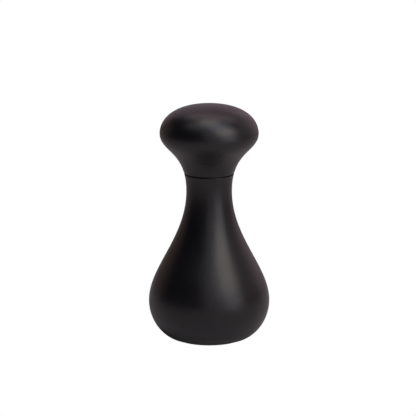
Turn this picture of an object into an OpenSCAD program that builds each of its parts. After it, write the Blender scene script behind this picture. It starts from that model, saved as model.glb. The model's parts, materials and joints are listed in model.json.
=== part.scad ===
// Pepper mill with a pull-off head and a ceramic grinder that is adjusted from below.
// Millimetres, +Z up, origin at the centre of the foot. Every radius is measured from the Z axis.

/* [Outline] */
// Height of the whole mill
height = 140; // [138:0.5:144]
// Radius of the foot, where the outline meets the table
foot_r = 20.9; // [20.5:0.1:22]
// Largest radius of the body
belly_r = 35.8; // [34:0.1:38]
// Height of the body's largest radius
belly_z = 22.5; // [21:0.5:25]
// Smallest radius, at the waist of the neck
waist_r = 13.45; // [13.2:0.05:14.5]
// Height of the waist
waist_z = 88.8; // [87:0.1:90]
// Largest radius of the head
head_r = 29; // [27:0.5:31]
// Height of the head's largest radius
head_z = 123.1; // [122:0.1:124.5]
// Height of the joint line between body and head
seam_z = 99.2; // [98.6:0.1:100]
// Height of the gap at the joint line
seam_gap = 0.6; // [0.5:0.05:0.8]

/* [Outline handles] */
// Slope of the outline where it leaves the foot, in degrees
foot_slope = 15.5; // [12:0.5:20]
// Length of the curve's handle at the foot
foot_pull = 8.6; // [7:0.1:9]
// Length of the handle above the belly
belly_pull = 19.5; // [17:0.5:22]
// Length of the handle below the waist
waist_pull = 28.4; // [26:0.2:30]
// Length of the handle below the rim of the head
rim_pull = 10.2; // [8:0.2:10.6]
// Length of the level handle at the crown
crown_pull = 25.1; // [22:0.1:26]

/* [Bores in the wood] */
// Radius of the recess in the foot
recess_r = 18.5; // [18.4:0.1:19]
// Depth of the recess in the foot
recess_depth = 15; // [15:0.5:16]
// Radius of the pepper chamber
chamber_r = 13.5; // [13.4:0.1:14]
// Height where the chamber begins to narrow
chamber_top_z = 66; // [50:1:66]
// Radius of the bore through the neck
neck_bore_r = 10; // [9.8:0.1:10.2]

/* [Grinder] */
// Side of the square drive shaft
shaft_side = 5; // [4.5:0.1:5]
// Height of the shaft's tip
shaft_top_z = 115; // [108:1:116]
// Gap between the burrs at the coarsest setting, measured square to the cone
burr_gap = 0.8; // [0.7:0.05:1]
// Number of fine teeth on each burr
fine_teeth = 24; // [18:1:30]
// Number of coarse grooves on each burr
coarse_grooves = 8; // [6:1:10]

/* [Adjuster] */
// Radius of the knob under the base
knob_r = 7.2; // [6.6:0.1:7.2]
// Number of flutes round the knob
knob_flutes = 20; // [14:1:24]
// How far the inner burr rises between coarse and fine
adjust_travel = 1; // [0.6:0.1:1]

/* [Hidden] */
$fn = 96;
small_fn = 32;
// Overshoot of a cutting tool past the face that it cuts
cut = 0.5;

lacquer = [0.09, 0.08, 0.09];
black_plastic = [0.13, 0.13, 0.14];
grey_plastic = [0.32, 0.33, 0.34];
ceramic = [0.93, 0.92, 0.88];
aluminium = [0.78, 0.79, 0.8];
steel = [0.62, 0.63, 0.65];
brass = [0.78, 0.62, 0.32];
rubber = [0.05, 0.05, 0.05];

// Clearances: a turning or sliding fit and a part let into the wood of the head, both measured
// on the radius, and a gap between faces
fit = 0.07;
let_in_fit = 0.05;
face_gap = 0.1;

// Seam: the neck bush's flange fills the gap but for a clearance under the head
body_top_z = seam_z - seam_gap / 2;
head_bottom_z = seam_z + seam_gap / 2;
edge_break = 0.25;
bush_t = 1.45;
bush_bore_r = neck_bore_r - 0.55;
bush_r = bush_bore_r + bush_t;
bush_z = body_top_z - 7.9;
bush_flange_r = 13.3;
neck_z = chamber_top_z + 6;

// Housing: a tube in the recess, a flange against its roof and a collar up in the chamber
housing_z = 3.5;
tube_bore_r = 13;
tube_r = 14.4;
housing_flange_r = recess_r - 0.2;
housing_flange_t = 2;
collar_r = chamber_r - 0.2;
collar_bore_r = 11.8;
collar_top_z = recess_depth + 8;
screw_circle_r = 16.4;
housing_screw_r = 1;
housing_screw_head_r = 1.9;
housing_screw_head_h = 1.4;
housing_screw_len = 12;

// Bottom bridge: a rim under the outer burr, four arms and a hub with a hexagonal socket
bridge_z = 4.5;
bridge_arm_h = 2;
bridge_arm_w = 2.4;
bridge_rim_bore_r = 11.9;
bridge_web_t = 1.1;
hub_r = 4.3;
hub_top_z = 10;
lug_w = 3;
lug_h = 1.5;
lug_r = 13.8;

// Burrs: the fine zone flares out downwards, so a rising inner burr closes the gap
burr_z = 7;
burr_h = 8;
fine_h = 4;
burr_mouth_r = 11.4;
burr_throat_r = 9.4;
burr_entry_r = 10.9;
flare = atan((burr_mouth_r - burr_throat_r) / fine_h);
burr_offset = burr_gap / cos(flare);
cone_z = burr_z + 0.2;
cone_mouth_r = burr_mouth_r - 0.2 * tan(flare) - burr_offset;
cone_throat_r = burr_throat_r - burr_offset;
cone_tip_r = 6;
tooth_w = 0.8;
tooth_depth = 0.5;
tooth_skew = 18;
groove_w = 1.8;
groove_depth = 0.8;
key_w = 2;
key_r = 12.2;

// Carrier of the inner burr: the flange is under the ceramic, the core runs up round the shaft
carrier_z = cone_z + 0.2;
carrier_flange_r = 7.6;
carrier_flange_t = 1.2;
carrier_recess_r = 4.8;
carrier_roof_z = hub_top_z + 0.8;
carrier_wall_r = 5.9;
carrier_step_z = 12;
core_r = 4.2;
core_flats = 7.6;
core_top_z = 19.5;
core_floor_z = 13;

// Shaft and its journal in the shaft guide
shaft_z = core_floor_z + adjust_travel + 0.3;
shaft_corner_r = 0.69 * shaft_side;
square_hole = shaft_side + 0.1;
clip_groove_r = 2.9;
clip_r = 4.9;
clip_t = 0.6;
seat_z = 25;
seat_r = 5.6;
journal_r = 4.65;
journal_z = seat_z + 2 * clip_t + 0.3;
guide_rim_h = 6;
guide_arm_h = 2.4;
guide_arm_w = 2.2;
guide_hub_r = 6.4;
guide_hub_z = collar_top_z + guide_rim_h - guide_arm_h;
guide_hub_top_z = guide_hub_z + 6.4;
washer_t = 0.45;
journal_flange_z = guide_hub_top_z + 0.6;
journal_flange_t = 1.2;
journal_flange_r = 6.3;

// Feed vanes and spring between the carrier and the spring seat
auger_z = 15.2;
auger_hub_top_z = 19;
auger_hub_r = 5.6;
auger_r = 9.4;
auger_vane_t = 1.2;
auger_vane_h = 4;
auger_pitch = 30;
spring_r = 4.85;
wire_r = 0.35;
spring_turns = 5;

// Adjuster: knob, spindle, clip, nut and ball
knob_z = 0.9;
knob_top_z = 3.5;
knob_boss_r = 2.7;
spindle_r = 1.45;
spindle_z = 1.9;
spindle_top_z = 8.8;
spindle_hex = 3.4;
spindle_head_h = 1.4;
spindle_groove_r = 1.1;
spindle_clip_z = bridge_z + bridge_web_t + 0.1;
spindle_clip_t = 0.4;
nut_hex = 5.4;
nut_z = 6.5;
nut_top_z = 10.2;
nut_roof = 1.2;
ball_r = 1.2;
ball_z = nut_top_z + 0.7;

// Head: spigot in the neck bush, flange in the wood, slit socket round the shaft
spigot_r = bush_bore_r - 0.15;
spigot_z = bush_z + 0.5;
o_ring_r = 0.8;
o_ring_z = spigot_z + 3.5;
head_flange_r = 12.6;
head_flange_t = 1.5;
head_stem_r = 8;
head_stem_top_z = head_bottom_z + 4.5;
socket_r = 5.6;
socket_top_z = shaft_top_z + 2;
slit_w = 1;
slit_z = head_stem_top_z + 2;
grip_z = slit_z + 4;
grip_t = 1;
head_bore_top_z = socket_top_z + 2;
head_screw_circle_r = 10.95;
head_screw_r = 0.8;
head_screw_head_r = 1.5;
head_screw_len = 8;

// n points of a cubic curve, without its last one
function bezier(p, n) = [
    for (i = [0 : n - 1])
        let (t = i / n, s = 1 - t)
            pow(s, 3) * p[0] + 3 * s * s * t * p[1] + 3 * s * t * t * p[2] + pow(t, 3) * p[3]
];

// The handles below the belly, above the waist and above the rim have the lengths that keep
// the curvature the same on both sides of those points
foot_handle = foot_pull * [cos(foot_slope), sin(foot_slope)] + [foot_r, 0];
belly_drop = belly_pull * sqrt((belly_r - foot_handle.x) / (belly_r - waist_r));
waist_rise = waist_pull * sqrt((head_r - waist_r) / (belly_r - waist_r));
rim_rise = rim_pull * sqrt((head_r - crown_pull) / (head_r - waist_r));
foot = [foot_r, 0];
belly = [belly_r, belly_z];
waist = [waist_r, waist_z];
rim = [head_r, head_z];
crown = [0, height];
outline = concat(
    bezier([foot, foot_handle, belly - [0, belly_drop], belly], 14),
    bezier([belly, belly + [0, belly_pull], waist - [0, waist_pull], waist], 30),
    bezier([waist, waist + [0, waist_rise], rim - [0, rim_pull], rim], 26),
    bezier([rim, rim + [0, rim_rise], [crown_pull, height], crown], 22),
    [crown]
);

function outline_r(z) = lookup(z, [for (p = outline) [p.y, p.x]]);
function outline_between(low, high) = [for (p = outline) if (p.y > low && p.y < high) p];

// Solid of revolution from a half section of [radius, height] points
module turned(section) {
    rotate_extrude() polygon(section);
}

module ring(r, bore, z, h) {
    difference() {
        translate([0, 0, z]) cylinder(r = r, h = h);
        translate([0, 0, z - cut]) cylinder(r = bore, h = h + 2 * cut);
    }
}

module around(n, first = 0) {
    for (i = [0 : n - 1]) rotate(first + i * 360 / n) children();
}

module square_bar(side, z, h) {
    translate([-side / 2, -side / 2, z]) cube([side, side, h]);
}

module hexagon_bar(flats, z, h) {
    translate([0, 0, z]) cylinder(r = flats / 2 / cos(30), h = h, $fn = 6);
}

// Round core with two flats across X
module flatted_bar(r, flats, z, h) {
    intersection() {
        translate([0, 0, z]) cylinder(r = r, h = h);
        translate([-flats / 2, -r - cut, z]) cube([flats, 2 * r + 2 * cut, h]);
    }
}

// Retaining ring with an open mouth towards +X
module open_ring(r, bore, z, h, mouth) {
    difference() {
        ring(r, bore, z, h);
        translate([0, -mouth / 2, z - cut]) cube([r + cut, mouth, h + 2 * cut]);
    }
}

// Cross recess in the end of a screw that points up, its head's face at z = 0
module cross_recess(reach, depth) {
    for (turn = [0, 90])
        rotate(turn) translate([-reach, -0.25, -cut]) cube([2 * reach, 0.5, depth + cut]);
}

// Shank that points up from z = 0, with a pointed end
module screw_shank(r, h) {
    cylinder(r = r, h = h - 2 * r, $fn = small_fn);
    translate([0, 0, h - 2 * r]) cylinder(r1 = r, r2 = 0.2, h = 2 * r, $fn = small_fn);
}

module housing_screw_shanks() {
    around(3) translate([screw_circle_r, 0, recess_depth - housing_flange_t])
        screw_shank(housing_screw_r, housing_screw_len);
}

module head_screw_solids() {
    around(3, 30) translate([head_screw_circle_r, 0, head_bottom_z]) {
        screw_shank(head_screw_r, head_screw_len);
        cylinder(r1 = head_screw_head_r, r2 = head_screw_r, h = 1, $fn = small_fn);
    }
}

// Slots along a cone of a burr: r and z are the middle of the slot, tilt is the cone's slope
module cone_slots(n, r, z, tilt, skew, w, depth, len) {
    around(n) translate([r, 0, z]) rotate([0, tilt, 0]) rotate([skew, 0, 0])
        cube([2 * depth, w, len], center = true);
}

// ---- Body ----

module body_shell() {
    top_r = outline_r(body_top_z);
    color(lacquer) difference() {
        turned(concat(
            [foot],
            outline_between(0, body_top_z - edge_break),
            [[top_r, body_top_z - edge_break], [top_r - edge_break, body_top_z]],
            [[bush_r, body_top_z], [bush_r, bush_z], [neck_bore_r, bush_z]],
            [[neck_bore_r, neck_z], [chamber_r, chamber_top_z], [chamber_r, recess_depth]],
            [[recess_r, recess_depth], [recess_r, 0]]
        ));
        housing_screw_shanks();
    }
}

module neck_bush() {
    flange_top_z = head_bottom_z - face_gap;
    color(black_plastic) turned([
        [bush_bore_r, bush_z], [bush_r, bush_z], [bush_r, body_top_z], [bush_flange_r, body_top_z],
        [bush_flange_r, flange_top_z], [bush_bore_r + 0.4, flange_top_z], [bush_bore_r, body_top_z]
    ]);
}

module grinder_housing() {
    flange_z = recess_depth - housing_flange_t;
    color(grey_plastic) difference() {
        union() {
            turned([
                [tube_bore_r, housing_z], [tube_r, housing_z], [tube_r, flange_z],
                [housing_flange_r, flange_z], [housing_flange_r, recess_depth],
                [collar_r, recess_depth], [collar_r, collar_top_z], [collar_bore_r, collar_top_z],
                [collar_bore_r, recess_depth], [tube_bore_r, recess_depth]
            ]);
            around(3, 30) translate([key_r, -key_w / 2, burr_z + 2])
                cube([tube_bore_r - key_r + cut, key_w, recess_depth - burr_z - 2]);
        }
        around(3) translate([screw_circle_r, 0, flange_z - cut])
            cylinder(r = housing_screw_r + 0.1, h = housing_flange_t + 2 * cut, $fn = small_fn);
        around(4, 45) translate([tube_bore_r - cut, -lug_w / 2 - face_gap, bridge_z])
            cube([tube_r - tube_bore_r + 2 * cut, lug_w + 2 * face_gap, lug_h + 2 * face_gap]);
    }
}

module housing_screws() {
    face_z = recess_depth - housing_flange_t - housing_screw_head_h;
    color(steel) {
        housing_screw_shanks();
        around(3) translate([screw_circle_r, 0, face_z]) difference() {
            cylinder(r = housing_screw_head_r, h = housing_screw_head_h, $fn = small_fn);
            cross_recess(1.1, 0.8);
        }
    }
}

module outer_burr() {
    r = tube_bore_r - 0.05;
    entry_slope = -atan((burr_entry_r - burr_throat_r) / (burr_h - fine_h));
    color(ceramic) difference() {
        turned([
            [burr_mouth_r, burr_z], [r, burr_z], [r, burr_z + burr_h], [burr_entry_r, burr_z + burr_h],
            [burr_throat_r, burr_z + fine_h]
        ]);
        cone_slots(fine_teeth, (burr_mouth_r + burr_throat_r) / 2, burr_z + fine_h / 2,
            -flare, tooth_skew, tooth_w, tooth_depth, fine_h + 3);
        cone_slots(coarse_grooves, (burr_entry_r + burr_throat_r) / 2, burr_z + burr_h - 1.4,
            -entry_slope, -tooth_skew, groove_w, groove_depth, fine_h + 1);
        around(3, 30) translate([key_r - 0.1, -key_w / 2 - 0.05, burr_z + 2 - 0.1])
            cube([r - key_r + cut, key_w + 0.1, burr_h]);
    }
}

module bottom_bridge() {
    rim_r = tube_bore_r - 0.05;
    color(grey_plastic) difference() {
        union() {
            ring(rim_r, bridge_rim_bore_r, housing_z, burr_z - housing_z);
            translate([0, 0, bridge_z]) cylinder(r = hub_r, h = hub_top_z - bridge_z);
            around(4, 45) {
                translate([hub_r - 1, -bridge_arm_w / 2, bridge_z])
                    cube([bridge_rim_bore_r - hub_r + 1.4, bridge_arm_w, bridge_arm_h]);
                translate([bridge_rim_bore_r + 0.4, -lug_w / 2, bridge_z + face_gap])
                    cube([lug_r - bridge_rim_bore_r - 0.4, lug_w, lug_h]);
            }
        }
        translate([0, 0, bridge_z - cut]) cylinder(r = spindle_r + fit, h = bridge_web_t + 2 * cut);
        hexagon_bar(nut_hex + 0.1, bridge_z + bridge_web_t, hub_top_z);
    }
}

module shaft_guide() {
    color(grey_plastic) {
        ring(collar_r, collar_bore_r, collar_top_z, guide_rim_h);
        ring(guide_hub_r, journal_r + fit, guide_hub_z, guide_hub_top_z - guide_hub_z);
        around(4, 45) translate([guide_hub_r - 0.6, -guide_arm_w / 2, guide_hub_z])
            cube([collar_bore_r - guide_hub_r + 1, guide_arm_w, guide_arm_h]);
    }
}

// Flat washer under the bridge's hub, with two bent fingers over the knob's notches
module click_spring() {
    t = 0.25;
    bend_r = 5.5;
    dip = 0.55;
    high = bridge_z;
    finger = [
        [3.8, high], [4.8, high - 0.1], [bend_r, high - dip - 0.1], [6.2, high - 0.1],
        [6.2, high - 0.1 - t], [bend_r, high - dip - 0.1 - t], [4.8, high - 0.1 - t], [3.8, high - t]
    ];
    color(steel) {
        ring(hub_r - 0.1, 3, high - t, t);
        around(2) rotate([90, 0, 0]) linear_extrude(height = 1.6, center = true) polygon(finger);
    }
}

// ---- Rotor ----

module drive_shaft() {
    color(aluminium) difference() {
        intersection() {
            square_bar(shaft_side, shaft_z, shaft_top_z - shaft_z);
            turned([
                [0, shaft_z], [shaft_corner_r, shaft_z], [shaft_corner_r, shaft_top_z - 2],
                [shaft_side * 0.42, shaft_top_z], [0, shaft_top_z]
            ]);
        }
        for (z = [seat_z + clip_t, journal_flange_z + journal_flange_t + face_gap])
            ring(clip_r, clip_groove_r, z, clip_t);
    }
}

module drive_bush() {
    top_z = journal_flange_z + journal_flange_t;
    color(black_plastic) difference() {
        turned([
            [0, journal_z], [journal_r, journal_z], [journal_r, journal_flange_z],
            [journal_flange_r, journal_flange_z], [journal_flange_r, top_z], [0, top_z]
        ]);
        square_bar(square_hole, journal_z - cut, top_z - journal_z + 2 * cut);
    }
}

module thrust_washer() {
    color(steel) ring(journal_flange_r, journal_r + 0.1, guide_hub_top_z + 0.05, washer_t);
}

module shaft_circlips() {
    color(steel) for (z = [seat_z + clip_t, journal_flange_z + journal_flange_t + face_gap])
        open_ring(clip_r, clip_groove_r, z, clip_t, 3.4);
}

module spring_seat() {
    color(steel) ring(seat_r, shaft_corner_r + 0.15, seat_z, clip_t);
}

// Coil swept along a helix, with a flat cap at each end
module burr_spring() {
    sides = 6;
    steps = 14;
    low = auger_hub_top_z + 0.05 + wire_r;
    rise = seat_z - 0.05 - wire_r - low;
    last = spring_turns * steps;
    points = [
        for (i = [0 : last], j = [0 : sides - 1])
            let (turn = 360 * i / steps, lean = 360 * j / sides)
                [
                    (spring_r + wire_r * cos(lean)) * cos(turn),
                    (spring_r + wire_r * cos(lean)) * sin(turn),
                    low + rise * i / last + wire_r * sin(lean)
                ]
    ];
    sleeve = [
        for (i = [0 : last - 1], j = [0 : sides - 1])
            let (a = i * sides + j, b = i * sides + (j + 1) % sides)
                [a, b, b + sides, a + sides]
    ];
    start = [for (j = [0 : sides - 1]) sides - 1 - j];
    end = [for (j = [0 : sides - 1]) last * sides + j];
    color(steel) polyhedron(points = points, faces = concat(sleeve, [start, end]));
}

// ---- Inner burr ----

module burr_carrier() {
    color(black_plastic) difference() {
        union() {
            turned([
                [carrier_recess_r, carrier_z], [carrier_flange_r, carrier_z],
                [carrier_flange_r, carrier_z + carrier_flange_t],
                [carrier_wall_r, carrier_z + carrier_flange_t], [carrier_wall_r, carrier_step_z],
                [0, carrier_step_z], [0, carrier_roof_z], [carrier_recess_r, carrier_roof_z]
            ]);
            flatted_bar(core_r, core_flats, carrier_step_z - cut, core_top_z - carrier_step_z + cut);
        }
        square_bar(square_hole, core_floor_z, core_top_z);
        translate([0, 0, ball_z]) sphere(r = ball_r + fit);
    }
}

module inner_burr() {
    step_z = carrier_z + carrier_flange_t + 0.05;
    top_z = burr_z + burr_h;
    throat_z = burr_z + fine_h;
    color(ceramic) difference() {
        turned([
            [carrier_flange_r + 0.05, cone_z], [cone_mouth_r, cone_z], [cone_throat_r, throat_z],
            [cone_tip_r, top_z], [0, top_z], [0, carrier_step_z + 0.05],
            [carrier_wall_r + 0.05, carrier_step_z + 0.05], [carrier_wall_r + 0.05, step_z],
            [carrier_flange_r + 0.05, step_z]
        ]);
        flatted_bar(core_r + 0.05, core_flats + 0.1, carrier_step_z, burr_h);
        cone_slots(fine_teeth, (cone_mouth_r + cone_throat_r) / 2, (cone_z + throat_z) / 2,
            -flare, -tooth_skew, tooth_w, tooth_depth, fine_h + 1.4);
        cone_slots(coarse_grooves, (cone_throat_r + cone_tip_r) / 2, (throat_z + top_z) / 2 + 0.6,
            -atan((cone_throat_r - cone_tip_r) / (top_z - throat_z)), tooth_skew,
            groove_w, groove_depth, fine_h + 1);
    }
}

module feed_auger() {
    color(black_plastic) difference() {
        union() {
            translate([0, 0, auger_z]) cylinder(r = auger_hub_r, h = auger_hub_top_z - auger_z);
            around(3) translate([(auger_hub_r + auger_r) / 2 - 0.4, 0, auger_z + 2.1])
                rotate([auger_pitch, 0, 0])
                    cube([auger_r - auger_hub_r + 0.8, auger_vane_t, auger_vane_h], center = true);
        }
        flatted_bar(core_r + 0.03, core_flats + 0.06, auger_z - cut, burr_h);
    }
}

// ---- Adjuster ----

module spindle_solid() {
    hexagon_bar(spindle_hex, spindle_z, spindle_head_h);
    translate([0, 0, spindle_z]) cylinder(r = spindle_r, h = spindle_top_z - spindle_z);
}

module adjuster_knob() {
    notch_r = 5.5;
    bar_w = 3;
    dish_r = 5.7;
    dish_depth = 0.9;
    color(black_plastic) difference() {
        turned([
            [0, knob_z], [knob_r - 0.5, knob_z], [knob_r, knob_z + 0.5], [knob_r, knob_top_z - 0.4],
            [knob_r - 0.4, knob_top_z], [knob_boss_r, knob_top_z],
            [knob_boss_r, bridge_z - face_gap], [0, bridge_z - face_gap]
        ]);
        spindle_solid();
        around(knob_flutes) translate([knob_r + 0.35, 0, knob_z - cut])
            cylinder(r = 0.75, h = knob_top_z - knob_z + 2 * cut, $fn = small_fn);
        around(12) translate([notch_r, 0, knob_top_z])
            rotate([0, 90, 0]) cylinder(r = 0.45, h = 2, center = true, $fn = small_fn);
        for (side = [0, 180]) rotate(side) intersection() {
            translate([0, 0, knob_z - cut]) cylinder(r = dish_r, h = dish_depth + cut);
            translate([-knob_r, bar_w / 2, knob_z - cut]) cube([2 * knob_r, knob_r, knob_r]);
        }
    }
}

module adjuster_spindle() {
    color(steel) difference() {
        spindle_solid();
        ring(spindle_r + cut, spindle_groove_r, spindle_clip_z, spindle_clip_t);
    }
}

module spindle_clip() {
    color(steel) open_ring(2.5, spindle_groove_r, spindle_clip_z, spindle_clip_t, 1.6);
}

module adjuster_nut() {
    color(brass) difference() {
        hexagon_bar(nut_hex, nut_z, nut_top_z - nut_z);
        translate([0, 0, nut_z - cut])
            cylinder(r = spindle_r + fit, h = nut_top_z - nut_roof - nut_z + cut);
        translate([0, 0, ball_z]) sphere(r = ball_r);
    }
}

module thrust_ball() {
    color(steel) translate([0, 0, ball_z]) sphere(r = ball_r);
}

// ---- Head ----

module head_knob() {
    bottom_r = outline_r(head_bottom_z);
    bore_r = head_stem_r + let_in_fit;
    pocket_r = head_flange_r + let_in_fit;
    pocket_top_z = head_bottom_z + head_flange_t;
    color(lacquer) difference() {
        turned(concat(
            [[pocket_r, head_bottom_z], [bottom_r - edge_break, head_bottom_z]],
            [[outline_r(head_bottom_z + edge_break), head_bottom_z + edge_break]],
            outline_between(head_bottom_z + edge_break, height),
            [crown, [0, head_bore_top_z], [bore_r, head_bore_top_z]],
            [[bore_r, pocket_top_z], [pocket_r, pocket_top_z]]
        ));
        head_screw_solids();
    }
}

module head_spigot() {
    flange_top_z = head_bottom_z + head_flange_t;
    groove_r = spigot_r - 1.5;
    color(black_plastic) difference() {
        turned([
            [0, spigot_z], [spigot_r - 1, spigot_z], [spigot_r, spigot_z + 1],
            [spigot_r, o_ring_z - 0.9], [groove_r, o_ring_z - 0.9], [groove_r, o_ring_z + 0.9],
            [spigot_r, o_ring_z + 0.9], [spigot_r, head_bottom_z], [head_flange_r, head_bottom_z],
            [head_flange_r, flange_top_z], [head_stem_r, flange_top_z],
            [head_stem_r, head_stem_top_z], [socket_r, head_stem_top_z], [socket_r, grip_z],
            [socket_r - 0.6, grip_z], [socket_r - 0.6, grip_z + grip_t],
            [socket_r, grip_z + grip_t], [socket_r, socket_top_z - 1],
            [socket_r - 1, socket_top_z], [0, socket_top_z]
        ]);
        square_bar(shaft_side + 0.14, spigot_z - cut, socket_top_z);
        for (turn = [45, 135]) rotate(turn)
            translate([-socket_r - cut, -slit_w / 2, slit_z])
                cube([2 * socket_r + 2 * cut, slit_w, socket_top_z]);
        head_screw_solids();
    }
}

module head_screws() {
    color(steel) difference() {
        head_screw_solids();
        around(3, 30) translate([head_screw_circle_r, 0, head_bottom_z]) cross_recess(0.9, 0.5);
    }
}

module grip_ring() {
    color(steel) open_ring(socket_r + 0.5, socket_r - 0.6, grip_z, grip_t, 3);
}

module head_o_ring() {
    color(rubber) rotate_extrude()
        translate([spigot_r - 1.5 + o_ring_r, o_ring_z]) circle(r = o_ring_r, $fn = small_fn);
}

body_shell();
neck_bush();
grinder_housing();
housing_screws();
outer_burr();
bottom_bridge();
shaft_guide();
click_spring();
drive_shaft();
drive_bush();
thrust_washer();
shaft_circlips();
spring_seat();
burr_spring();
burr_carrier();
inner_burr();
feed_auger();
adjuster_knob();
adjuster_spindle();
spindle_clip();
adjuster_nut();
thrust_ball();
head_knob();
head_spigot();
head_screws();
grip_ring();
head_o_ring();
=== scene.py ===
"""Looks of a turned-wood pepper mill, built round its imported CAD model. Metres, +Z up, the foot on z = 0.

The two wooden turnings and the burr spring are rebuilt here as smooth meshes on the CAD's own
dimensions. Every other CAD node keeps its shape and gets a material made of nodes.
"""

import json
import math

import bpy
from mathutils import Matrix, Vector


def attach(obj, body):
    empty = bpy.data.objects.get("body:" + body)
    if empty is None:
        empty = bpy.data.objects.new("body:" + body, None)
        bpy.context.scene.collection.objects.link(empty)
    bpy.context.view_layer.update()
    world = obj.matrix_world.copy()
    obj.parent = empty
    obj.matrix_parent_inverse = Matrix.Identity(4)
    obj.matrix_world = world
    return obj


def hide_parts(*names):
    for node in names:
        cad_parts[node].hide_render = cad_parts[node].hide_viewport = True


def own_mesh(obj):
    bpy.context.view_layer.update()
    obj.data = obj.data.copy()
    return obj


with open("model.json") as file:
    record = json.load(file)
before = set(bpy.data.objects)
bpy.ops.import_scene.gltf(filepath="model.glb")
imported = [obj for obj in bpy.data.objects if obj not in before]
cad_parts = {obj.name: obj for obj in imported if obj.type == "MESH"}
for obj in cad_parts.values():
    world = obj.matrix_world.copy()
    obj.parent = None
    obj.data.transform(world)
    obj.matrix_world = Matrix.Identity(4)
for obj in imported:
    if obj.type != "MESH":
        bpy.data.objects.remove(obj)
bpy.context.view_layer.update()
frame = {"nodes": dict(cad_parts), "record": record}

MM = 0.001

# Outline of the wood, the same curve as the CAD's, in millimetres
FOOT_R, BELLY_R, BELLY_Z = 20.9, 35.8, 22.5
WAIST_R, WAIST_Z = 13.45, 88.8
HEAD_R, HEAD_Z, HEIGHT = 29.0, 123.1, 140.0
FOOT_SLOPE, FOOT_PULL, BELLY_PULL, WAIST_PULL = math.radians(15.5), 8.6, 19.5, 28.4
RIM_PULL, CROWN_PULL = 10.2, 25.1
# Facing edges of the body and the head at the seam, and the rounding of the turned edges
BODY_TOP_Z, HEAD_BOTTOM_Z = 98.9, 99.5
EDGE_R, FOOT_EDGE_R = 0.25, 0.3

# Bores of the body: pocket of the neck bush, neck, pepper chamber and recess in the foot
BUSH_POCKET_R, BUSH_POCKET_Z = 10.9, 91.0
NECK_R, NECK_Z = 10.0, 72.0
CHAMBER_R, CHAMBER_TOP_Z = 13.5, 66.0
RECESS_R, RECESS_TOP_Z, RECESS_BEVEL = 18.5, 15.0, 0.3
# Bores of the head: hole for the spigot's stem and pocket for its flange
STEM_HOLE_R, STEM_HOLE_TOP_Z = 8.05, 119.0
FLANGE_POCKET_R, FLANGE_POCKET_TOP_Z = 12.65, 101.0

# Burr spring
COIL_R, WIRE_R, COIL_TURNS = 4.85, 0.35, 5
COIL_LOW_Z, COIL_HIGH_Z = 19.15, 24.95


# ---- Turned shapes ----

def bezier(p, n):
    """n points of a cubic curve, without its last one."""
    points = []
    for i in range(n):
        t = i / n
        w = ((1 - t) ** 3, 3 * (1 - t) ** 2 * t, 3 * (1 - t) * t * t, t ** 3)
        points.append(tuple(sum(k * q[a] for k, q in zip(w, p)) for a in (0, 1)))
    return points


def wood_outline():
    """Half section of the whole outside, from the foot to the crown."""
    handle_r = FOOT_R + FOOT_PULL * math.cos(FOOT_SLOPE)
    handle_z = FOOT_PULL * math.sin(FOOT_SLOPE)
    narrowing = BELLY_R - WAIST_R
    belly_drop = BELLY_PULL * math.sqrt((BELLY_R - handle_r) / narrowing)
    waist_rise = WAIST_PULL * math.sqrt((HEAD_R - WAIST_R) / narrowing)
    rim_rise = RIM_PULL * math.sqrt((HEAD_R - CROWN_PULL) / (HEAD_R - WAIST_R))
    foot, belly, waist = (FOOT_R, 0.0), (BELLY_R, BELLY_Z), (WAIST_R, WAIST_Z)
    rim, crown = (HEAD_R, HEAD_Z), (0.0, HEIGHT)
    return (
        bezier([foot, (handle_r, handle_z), (BELLY_R, BELLY_Z - belly_drop), belly], 28)
        + bezier([belly, (BELLY_R, BELLY_Z + BELLY_PULL), (WAIST_R, WAIST_Z - WAIST_PULL), waist], 60)
        + bezier([waist, (WAIST_R, WAIST_Z + waist_rise), (HEAD_R, HEAD_Z - RIM_PULL), rim], 64)
        + bezier([rim, (HEAD_R, HEAD_Z + rim_rise), (CROWN_PULL, HEIGHT), crown], 52)
        + [crown]
    )


OUTLINE = wood_outline()


def outline_r(z):
    """Radius of the outside at height z."""
    for (r0, z0), (r1, z1) in zip(OUTLINE, OUTLINE[1:]):
        if z0 <= z <= z1:
            return r0 + (r1 - r0) * (z - z0) / (z1 - z0)
    raise ValueError(z)


def between(low, high):
    """Points of the outside between two heights."""
    return [p for p in OUTLINE if low < p[1] < high]


def arc(centre, r, start, end, n=6):
    """Points of a rounded edge, both ends included, angles in degrees."""
    return [
        (centre[0] + r * math.cos(math.radians(a)), centre[1] + r * math.sin(math.radians(a)))
        for a in (start + (end - start) * i / n for i in range(n + 1))
    ]


def lathe(name, section, material_of, segments=256):
    """Closed solid turned from a closed half section in millimetres. material_of gives the material
    number of the face that starts at each point of the section."""
    verts, rings, faces, numbers = [], [], [], []
    for r, z in section:
        if r < 1e-6:
            rings.append([len(verts)] * segments)
            verts.append((0.0, 0.0, z * MM))
        else:
            rings.append(list(range(len(verts), len(verts) + segments)))
            verts += [
                (r * MM * math.cos(a), r * MM * math.sin(a), z * MM)
                for a in (2 * math.pi * i / segments for i in range(segments))
            ]
    for k, ring in enumerate(rings):
        following = rings[(k + 1) % len(rings)]
        if ring[0] == ring[1] and following[0] == following[1]:
            continue
        for i in range(segments):
            j = (i + 1) % segments
            corners = [ring[i], ring[j], following[j], following[i]]
            faces.append([v for n, v in enumerate(corners) if v not in corners[:n]])
            numbers.append(material_of(k))
    mesh = bpy.data.meshes.new(name)
    mesh.from_pydata(verts, [], faces)
    mesh.polygons.foreach_set("material_index", numbers)
    mesh.validate()
    return placed(name, mesh, 32)


def placed(name, mesh, sharp_from):
    """Object for a smooth mesh whose edges are sharp from that angle, in degrees."""
    mesh.polygons.foreach_set("use_smooth", [True] * len(mesh.polygons))
    mesh.set_sharp_from_angle(angle=math.radians(sharp_from))
    piece = bpy.data.objects.new(name, mesh)
    bpy.context.scene.collection.objects.link(piece)
    return piece


# ---- Materials ----

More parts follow.
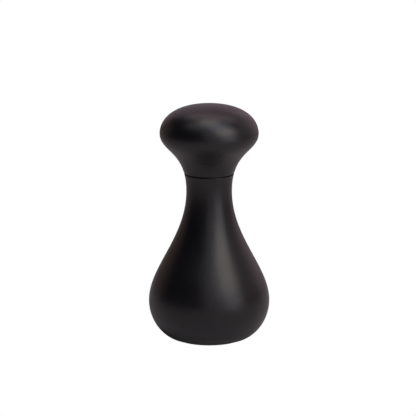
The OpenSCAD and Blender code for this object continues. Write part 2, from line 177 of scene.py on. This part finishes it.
def rgba(r, g, b):
    return (r, g, b, 1.0)


def key_of(name):
    """i0, i1 and so on stand for a socket's number, and any other name for the socket's own name."""
    if name[0] == "i" and name[1:].isdigit():
        return int(name[1:])
    return name.replace("_", " ")


class Look:
    """A node material round one Principled shader. Noise is in object coordinates, so scales are in
    features per metre, and depths are in metres."""

    def __init__(self, name, **sockets):
        self.material = bpy.data.materials.new(name)
        self.material.use_nodes = True
        self.tree = self.material.node_tree
        self.shader = self.tree.nodes["Principled BSDF"]
        for socket, value in sockets.items():
            self.shader.inputs[key_of(socket)].default_value = value
        self.position = self.node("ShaderNodeTexCoord").outputs["Object"]

    def node(self, kind, settings=None, **inputs):
        made = self.tree.nodes.new(kind)
        for setting, value in (settings or {}).items():
            setattr(made, setting, value)
        for socket, value in inputs.items():
            self.feed(made.inputs[key_of(socket)], value)
        return made

    def feed(self, socket, value):
        if isinstance(value, bpy.types.NodeSocket):
            self.tree.links.new(value, socket)
        else:
            socket.default_value = value

    def stretched(self, scale):
        """The position, scaled along each axis."""
        made = self.node("ShaderNodeVectorMath", {"operation": "MULTIPLY"}, i0=self.position, i1=scale)
        return made.outputs[0]

    def noise(self, scale, detail=2.0, vector=None, rough=0.5):
        where = vector or self.position
        made = self.node("ShaderNodeTexNoise", Vector=where, Scale=scale, Detail=detail, Roughness=rough)
        return made.outputs["Fac"]

    def remap(self, value, low, high, to_low, to_high):
        made = self.node("ShaderNodeMapRange", Value=value, From_Min=low, From_Max=high)
        self.feed(made.inputs["To Min"], to_low)
        self.feed(made.inputs["To Max"], to_high)
        return made.outputs["Result"]

    def spread(self, value, to_low, to_high):
        """The middle of a noise's range, spread over to_low to to_high."""
        return self.remap(value, 0.3, 0.7, to_low, to_high)

    def add(self, a, b):
        return self.node("ShaderNodeMath", {"operation": "ADD"}, i0=a, i1=b).outputs[0]

    def mix(self, factor, a, b):
        made = self.node("ShaderNodeMix", {"data_type": "RGBA"}, Factor=factor)
        self.feed(made.inputs[6], a)
        self.feed(made.inputs[7], b)
        return made.outputs[2]

    def bump(self, height, strength, distance, normal=None):
        made = self.node("ShaderNodeBump", Height=height, Strength=strength, Distance=distance)
        if normal is not None:
            self.feed(made.inputs["Normal"], normal)
        return made.outputs["Normal"]

    def soft_edges(self, radius):
        return self.node("ShaderNodeBevel", {"samples": 4}, Radius=radius).outputs["Normal"]

    def set(self, **inputs):
        for socket, value in inputs.items():
            self.feed(self.shader.inputs[key_of(socket)], value)
        return self.material


def lacquer():
    """Black satin lacquer over turned beech: closed pores that still show faintly along the grain,
    tool rings under the finish and a slight orange peel."""
    pore_scale, ring_scale, peel_scale, drift_scale = (1300, 1300, 130), (4, 4, 1500), 1300, 45
    pore_depth, ring_depth, peel_depth = 0.00005, 0.00003, 0.00003
    darkest, lightest = rgba(0.0026, 0.0020, 0.0022), rgba(0.0040, 0.0031, 0.0033)
    m = Look("black_satin_lacquer", Metallic=0.0, IOR=1.5)
    fibres = m.noise(1.0, 3.0, m.stretched(pore_scale), 0.6)
    pores = m.remap(fibres, 0.34, 0.46, 0.0, 1.0)
    rings = m.noise(1.0, 2.0, m.stretched(ring_scale), 0.6)
    peel = m.noise(peel_scale, 1.0)
    drift = m.noise(drift_scale, 2.0)
    tone = m.mix(drift, darkest, lightest)
    rough = m.add(m.spread(drift, 0.33, 0.37), m.spread(peel, -0.012, 0.012))
    relief = m.bump(pores, 0.26, pore_depth)
    relief = m.bump(rings, 0.30, ring_depth, relief)
    relief = m.bump(peel, 0.35, peel_depth, relief)
    return m.set(Base_Color=tone, Roughness=rough, Normal=relief)


def raw_beech():
    """Unfinished beech inside the bores: pinkish tan with short dark flecks along the grain."""
    grain_scale, fleck_scale, grain_depth = (260, 260, 22), (1500, 1500, 240), 0.0001
    late_wood, early_wood, ray = rgba(0.36, 0.22, 0.125), rgba(0.52, 0.345, 0.21), rgba(0.22, 0.115, 0.06)
    m = Look("raw_beech", Metallic=0.0, IOR=1.45)
    grain = m.noise(1.0, 4.0, m.stretched(grain_scale), 0.6)
    flecks = m.remap(m.noise(1.0, 2.0, m.stretched(fleck_scale)), 0.62, 0.72, 0.0, 1.0)
    tone = m.mix(m.spread(grain, 0.0, 1.0), late_wood, early_wood)
    tone = m.mix(flecks, tone, ray)
    relief = m.bump(grain, 0.25, grain_depth)
    return m.set(Base_Color=tone, Roughness=m.spread(grain, 0.55, 0.72), Normal=relief)


def moulded(name, colour, smoothest, roughest, grain_scale):
    """Moulded plastic or rubber: a fine spark-eroded grain and softened edges."""
    wide_scale, grain_depth, edge_r = 160, 0.00003, 0.00018
    m = Look(name, Metallic=0.0, IOR=1.48)
    fine = m.noise(grain_scale, 2.0)
    wide = m.noise(wide_scale, 2.0)
    darker = [0.8 * c for c in colour]
    tone = m.mix(wide, rgba(*darker), rgba(*colour))
    relief = m.bump(fine, 0.35, grain_depth, m.soft_edges(edge_r))
    return m.set(Base_Color=tone, Roughness=m.spread(wide, smoothest, roughest), Normal=relief)


def ceramic():
    """Sintered alumina: off-white, faintly speckled, with a dry sheen and a ground surface."""
    speck_scale, cloud_scale, speck_depth, edge_r = 2600, 220, 0.00003, 0.00012
    dull, bright, brown = rgba(0.70, 0.67, 0.60), rgba(0.86, 0.84, 0.78), rgba(0.42, 0.36, 0.28)
    m = Look("sintered_ceramic", Metallic=0.0, IOR=1.6, Subsurface_Weight=0.1, Subsurface_Scale=0.001)
    speck = m.noise(speck_scale, 2.0)
    cloud = m.noise(cloud_scale, 3.0)
    tone = m.mix(cloud, dull, bright)
    tone = m.mix(m.remap(speck, 0.66, 0.74, 0.0, 0.35), tone, brown)
    relief = m.bump(speck, 0.2, speck_depth, m.soft_edges(edge_r))
    return m.set(Base_Color=tone, Roughness=m.spread(cloud, 0.34, 0.5), Normal=relief)


def metal(name, colour, smoothest, roughest, mark_scale):
    """Bright metal with fine draw or turning marks, mark_scale being their scale along each axis."""
    cloud_scale, mark_depth, edge_r = 180, 0.00002, 0.0001
    m = Look(name, Metallic=1.0)
    marks = m.noise(1.0, 3.0, m.stretched(mark_scale), 0.65)
    cloud = m.noise(cloud_scale, 2.0)
    darker = [0.82 * c for c in colour]
    tone = m.mix(cloud, rgba(*darker), rgba(*colour))
    rough = m.add(m.spread(marks, smoothest, roughest), m.spread(cloud, -0.03, 0.03))
    relief = m.bump(marks, 0.2, mark_depth, m.soft_edges(edge_r))
    return m.set(Base_Color=tone, Roughness=rough, Normal=relief)


LACQUER, BEECH = lacquer(), raw_beech()
# Finish of each material slot of the record, apart from the turned wood
FINISHES = {
    "black_plastic": moulded("black_plastic", (0.018, 0.018, 0.0195), 0.36, 0.46, 2400),
    "grey_plastic": moulded("grey_plastic", (0.115, 0.12, 0.125), 0.38, 0.5, 2200),
    "burr_ceramic": ceramic(),
    "shaft_aluminium": metal("drawn_aluminium", (0.80, 0.81, 0.82), 0.24, 0.40, (2600, 2600, 30)),
    "spring_steel": metal("bright_steel", (0.60, 0.61, 0.63), 0.20, 0.34, (1500, 1500, 1500)),
    "nut_brass": metal("turned_brass", (0.80, 0.60, 0.28), 0.22, 0.36, (60, 60, 4000)),
    "ring_rubber": moulded("black_rubber", (0.012, 0.012, 0.012), 0.6, 0.75, 1800),
}
SLOT_OF = {part["node"]: part["material_slot"] for part in frame["record"]["subparts"]}


# ---- Pieces ----

def turning(name, outside, inside, last_lacquered):
    """Turned piece of wood. The section runs up the outside and back down through the bores. The
    faces up to last_lacquered and the flat under the piece are lacquered, the bores are bare."""
    flat = len(outside) + len(inside) - 1
    piece = lathe(name, outside + inside, lambda k: 0 if k <= last_lacquered or k == flat else 1)
    piece.data.materials.append(LACQUER)
    piece.data.materials.append(BEECH)
    return piece


def body_turning():
    """The body, with the bores that hold the peppercorns and the grinder."""
    top_r = outline_r(BODY_TOP_Z)
    outside = (
        arc((FOOT_R - FOOT_EDGE_R, FOOT_EDGE_R), FOOT_EDGE_R, -90, -20)
        + between(1.0, BODY_TOP_Z - EDGE_R)
        + arc((top_r - EDGE_R, BODY_TOP_Z - EDGE_R), EDGE_R, 0, 90)
    )
    inside = [
        (BUSH_POCKET_R, BODY_TOP_Z), (BUSH_POCKET_R, BUSH_POCKET_Z),
        (NECK_R, BUSH_POCKET_Z), (NECK_R, NECK_Z),
        (CHAMBER_R, CHAMBER_TOP_Z), (CHAMBER_R, RECESS_TOP_Z),
        (RECESS_R, RECESS_TOP_Z), (RECESS_R, RECESS_BEVEL), (RECESS_R + RECESS_BEVEL, 0.0),
    ]
    piece = turning("body_turning", outside, inside, len(outside) - 1)
    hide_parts("body_shell")
    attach(piece, "body")


def head_turning():
    """The mushroom head, bored for the plug that grips the shaft."""
    low_r = outline_r(HEAD_BOTTOM_Z)
    outside = (
        arc((low_r - EDGE_R, HEAD_BOTTOM_Z + EDGE_R), EDGE_R, -90, 0)
        + between(HEAD_BOTTOM_Z + 2 * EDGE_R, HEIGHT)
        + [(0.0, HEIGHT)]
    )
    inside = [
        (0.0, STEM_HOLE_TOP_Z), (STEM_HOLE_R, STEM_HOLE_TOP_Z),
        (STEM_HOLE_R, FLANGE_POCKET_TOP_Z), (FLANGE_POCKET_R, FLANGE_POCKET_TOP_Z),
        (FLANGE_POCKET_R, HEAD_BOTTOM_Z),
    ]
    piece = turning("head_turning", outside, inside, len(outside) - 2)
    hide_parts("head_knob")
    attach(piece, "head")


def burr_spring():
    """Round-wire coil between the feed vanes and the spring seat, riding with the rotor."""
    sides = 14
    steps = 48 * COIL_TURNS
    length = COIL_HIGH_Z - COIL_LOW_Z
    verts, faces = [], []
    for i in range(steps + 1):
        turn = 2 * math.pi * COIL_TURNS * i / steps
        z = COIL_LOW_Z + WIRE_R + (length - 2 * WIRE_R) * i / steps
        for j in range(sides):
            lean = 2 * math.pi * j / sides
            r = COIL_R + WIRE_R * math.cos(lean)
            wire_z = z + WIRE_R * math.sin(lean)
            verts.append((r * MM * math.cos(turn), r * MM * math.sin(turn), wire_z * MM))
    for i in range(steps):
        for j in range(sides):
            a, b = i * sides + j, i * sides + (j + 1) % sides
            faces.append((a, a + sides, b + sides, b))
    faces.append(tuple(range(sides)))
    faces.append(tuple(steps * sides + j for j in reversed(range(sides))))
    mesh = bpy.data.meshes.new("spring_coil")
    mesh.from_pydata(verts, [], faces)
    mesh.materials.append(FINISHES["spring_steel"])
    piece = placed("spring_coil", mesh, 50)
    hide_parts("burr_spring")
    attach(piece, "rotor")
    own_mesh(piece)


body_turning()
head_turning()
burr_spring()
for name, node in frame["nodes"].items():
    if SLOT_OF[name] in FINISHES:
        for slot in node.material_slots:
            slot.material = FINISHES[SLOT_OF[name]]


# ---- Floor, light and camera ----

CENTRE = Vector((0, 0, 0.07))

# Tints of the lights
WARM = (1.07, 0.98, 0.95)
PLAIN = (1.01, 0.96, 1.03)
COOL = (0.92, 0.97, 1.11)
ROSE = (1.15, 0.88, 0.97)
AMBER = (1.35, 0.90, 0.75)
# Name of each softbox, then its azimuth and elevation in degrees as seen from the mill (azimuth 0 is
# the camera's side), its width and height in metres, its radiance and its tint
LIGHTS = [
    ("key", 45, 38, 0.62, 0.50, 3.0, WARM),
    ("key_low", 47, 10, 0.62, 0.50, 1.65, PLAIN),
    ("key_high", 35, 64, 0.60, 0.40, 2.15, COOL),
    ("front", 8, 25, 0.60, 1.00, 0.5, PLAIN),
    ("overhead", 0, 88, 0.42, 0.42, 2.8, WARM),
    ("high_left", -52, 64, 0.65, 0.42, 0.7, PLAIN),
    ("high_back", 165, 66, 1.10, 0.40, 1.0, ROSE),
    ("right", 95, 24, 0.75, 0.80, 0.3, ROSE),
    ("back_right", 138, 20, 0.85, 0.80, 0.5, ROSE),
    ("back", 185, 24, 0.90, 0.80, 0.35, ROSE),
    ("back_left", -130, 10, 1.00, 0.70, 0.16, AMBER),
    ("under", 0, -88, 1.20, 1.20, 1.5, PLAIN),
]
LIGHT_DISTANCE = 1.0
FILL = (0.015, 0.018, 0.032)
FLOOR_ALBEDO, FLOOR_HALF = 0.56, 3
# Long lens, 13 degrees above the level of the mill's middle
CAMERA_LENS, SENSOR, CAMERA_ELEVATION, CAMERA_DISTANCE = 190.7, 36.0, 13, 1.3
SHIFT_X, SHIFT_Y = -0.0027, 0.0327


def direction(azimuth, elevation):
    a, e = math.radians(azimuth), math.radians(elevation)
    return Vector((math.sin(a) * math.cos(e), -math.cos(a) * math.cos(e), math.sin(e)))


def aimed(name, data, azimuth, elevation, distance):
    """Object that looks at the middle of the mill."""
    made = bpy.data.objects.new(name, data)
    towards = direction(azimuth, elevation)
    made.location = CENTRE + towards * distance
    made.rotation_euler = towards.to_track_quat("Z", "Y").to_euler()
    bpy.context.scene.collection.objects.link(made)
    return made


def softbox(name, azimuth, elevation, width, height, radiance, tint):
    light = bpy.data.lights.new(name, "AREA")
    light.shape = "RECTANGLE"
    light.size, light.size_y = width, height
    light.color = tint
    light.energy = radiance * math.pi * width * height  # watts that give this radiance
    lamp = aimed(name, light, azimuth, elevation, LIGHT_DISTANCE)
    lamp.visible_camera = False


def studio_world():
    """White behind the mill, and a faint fill light on it."""
    world = bpy.data.worlds.new("studio")
    world.use_nodes = True
    tree = world.node_tree
    fill = tree.nodes["Background"]
    fill.inputs["Color"].default_value = rgba(*FILL)
    backdrop = tree.nodes.new("ShaderNodeBackground")
    backdrop.inputs["Color"].default_value = rgba(1, 1, 1)
    seen = tree.nodes.new("ShaderNodeLightPath")
    mix = tree.nodes.new("ShaderNodeMixShader")
    tree.links.new(seen.outputs["Is Camera Ray"], mix.inputs[0])
    tree.links.new(fill.outputs[0], mix.inputs[1])
    tree.links.new(backdrop.outputs[0], mix.inputs[2])
    tree.links.new(mix.outputs[0], tree.nodes["World Output"].inputs["Surface"])
    bpy.context.scene.world = world


def pale_floor():
    """Pale table top. It shows as plain white, it lights the mill from below, and it is clear from
    below and to the light under it, so that the underside can be seen."""
    half = FLOOR_HALF
    corners = [(-half, -half, 0), (half, -half, 0), (half, half, 0), (-half, half, 0)]
    mesh = bpy.data.meshes.new("floor")
    mesh.from_pydata(corners, [], [(0, 1, 2, 3)])
    material = bpy.data.materials.new("pale_floor")
    material.use_nodes = True
    tree = material.node_tree
    tree.nodes.remove(tree.nodes["Principled BSDF"])
    new, link = tree.nodes.new, tree.links.new
    table = new("ShaderNodeBsdfDiffuse")
    table.inputs["Color"].default_value = rgba(FLOOR_ALBEDO, FLOOR_ALBEDO, FLOOR_ALBEDO)
    white = new("ShaderNodeEmission")
    clear = new("ShaderNodeBsdfTransparent")
    seen = new("ShaderNodeLightPath")
    side = new("ShaderNodeNewGeometry")
    shown = new("ShaderNodeMixShader")
    sided = new("ShaderNodeMixShader")
    link(seen.outputs["Is Camera Ray"], shown.inputs[0])
    link(table.outputs[0], shown.inputs[1])
    link(white.outputs[0], shown.inputs[2])
    link(side.outputs["Backfacing"], sided.inputs[0])
    link(shown.outputs[0], sided.inputs[1])
    link(clear.outputs[0], sided.inputs[2])
    link(sided.outputs[0], tree.nodes["Material Output"].inputs["Surface"])
    mesh.materials.append(material)
    floor = bpy.data.objects.new("floor", mesh)
    floor.visible_shadow = False
    bpy.context.scene.collection.objects.link(floor)


def photo_camera():
    lens = bpy.data.cameras.new("camera")
    lens.lens, lens.sensor_width = CAMERA_LENS, SENSOR
    lens.shift_x, lens.shift_y = SHIFT_X, SHIFT_Y
    lens.clip_start, lens.clip_end = 0.05, 50
    bpy.context.scene.camera = aimed("camera", lens, 0, CAMERA_ELEVATION, CAMERA_DISTANCE)


for row in LIGHTS:
    softbox(*row)
studio_world()
pale_floor()
photo_camera()
bpy.context.scene.view_settings.view_transform = "Standard"
bpy.context.scene.view_settings.look = "None"
